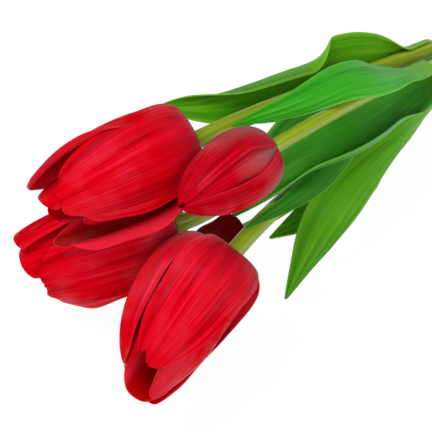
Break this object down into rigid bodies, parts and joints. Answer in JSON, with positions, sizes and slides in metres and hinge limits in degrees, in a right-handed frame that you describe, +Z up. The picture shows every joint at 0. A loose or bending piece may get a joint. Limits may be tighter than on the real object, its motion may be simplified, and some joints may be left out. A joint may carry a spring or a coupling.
{
  "type": "artificial tulip bouquet",
  "caption": "Bunch of red artificial tulips lying on its side: open blooms and buds of moulded petals on wired stems, with clasping green leaves and a flat band round the stems.",
  "frame": {"origin": "middle of the bouquet's bounding box in X and Y, on the surface it lies on", "axes": "+X along the bunch from the heads to the cut stem ends, +Z up from the surface it lies on, +Y to the left when looking along +X"},
  "size_m": [0.3154, 0.081, 0.0855],
  "materials": {
    "petal": "satin moulded polyurethane skin with fine lengthwise streaks",
    "leaf": "satin, lengthwise veins",
    "stem": "satin, slightly glossy ridge",
    "receptacle": "plain moulded",
    "wire": "drawn and galvanised",
    "band": "plain kraft paper"
  },
  "bodies": {
    "stems": {"bloom_1_stem": "stem", "bloom_1_stem_wire": "wire", "bloom_2_stem": "stem", "bloom_2_stem_wire": "wire", "bloom_3_stem": "stem", "bloom_3_stem_wire": "wire", "bud_1_stem": "stem", "bud_1_stem_wire": "wire", "bud_2_stem": "stem", "bud_2_stem_wire": "wire", "leaf_upper": "leaf", "leaf_front": "leaf", "leaf_broad": "leaf", "leaf_narrow": "leaf", "leaf_drooping": "leaf", "leaf_lower": "leaf", "binding_band": "band"},
    "bloom_1_head": {"bloom_1_receptacle": "receptacle", "bloom_1_outer_petal_1": "petal", "bloom_1_outer_petal_2": "petal", "bloom_1_outer_petal_3": "petal", "bloom_1_inner_petal_1": "petal", "bloom_1_inner_petal_2": "petal", "bloom_1_inner_petal_3": "petal"},
    "bloom_2_head": {"bloom_2_receptacle": "receptacle", "bloom_2_outer_petal_1": "petal", "bloom_2_outer_petal_2": "petal", "bloom_2_outer_petal_3": "petal", "bloom_2_inner_petal_1": "petal", "bloom_2_inner_petal_2": "petal", "bloom_2_inner_petal_3": "petal"},
    "bloom_3_head": {"bloom_3_receptacle": "receptacle", "bloom_3_outer_petal_1": "petal", "bloom_3_outer_petal_2": "petal", "bloom_3_outer_petal_3": "petal", "bloom_3_inner_petal_1": "petal", "bloom_3_inner_petal_2": "petal", "bloom_3_inner_petal_3": "petal"},
    "bud_1_head": {"bud_1_receptacle": "receptacle", "bud_1_outer_petal_1": "petal", "bud_1_outer_petal_2": "petal", "bud_1_outer_petal_3": "petal", "bud_1_inner_petal_1": "petal", "bud_1_inner_petal_2": "petal", "bud_1_inner_petal_3": "petal"},
    "bud_2_head": {"bud_2_receptacle": "receptacle", "bud_2_outer_petal_1": "petal", "bud_2_outer_petal_2": "petal", "bud_2_outer_petal_3": "petal", "bud_2_inner_petal_1": "petal", "bud_2_inner_petal_2": "petal", "bud_2_inner_petal_3": "petal"}
  },
  "joints": [
    {"name": "bloom_1_pull_off", "type": "slide", "parent": "stems", "child": "bloom_1_head", "axis": [-0.9988, 0.0349, -0.0349], "range_m": [0, 0.0065]},
    {"name": "bloom_2_pull_off", "type": "slide", "parent": "stems", "child": "bloom_2_head", "axis": [-0.8782, 0.391, -0.2756], "range_m": [0, 0.0065]},
    {"name": "bloom_3_pull_off", "type": "slide", "parent": "stems", "child": "bloom_3_head", "axis": [-0.9131, -0.3689, -0.1736], "range_m": [0, 0.0065]},
    {"name": "bud_1_pull_off", "type": "slide", "parent": "stems", "child": "bud_1_head", "axis": [-0.9857, -0.1385, 0.0958], "range_m": [0, 0.0065]},
    {"name": "bud_2_pull_off", "type": "slide", "parent": "stems", "child": "bud_2_head", "axis": [-0.9986, 0.0523, 0], "range_m": [0, 0.0065]}
  ]
}
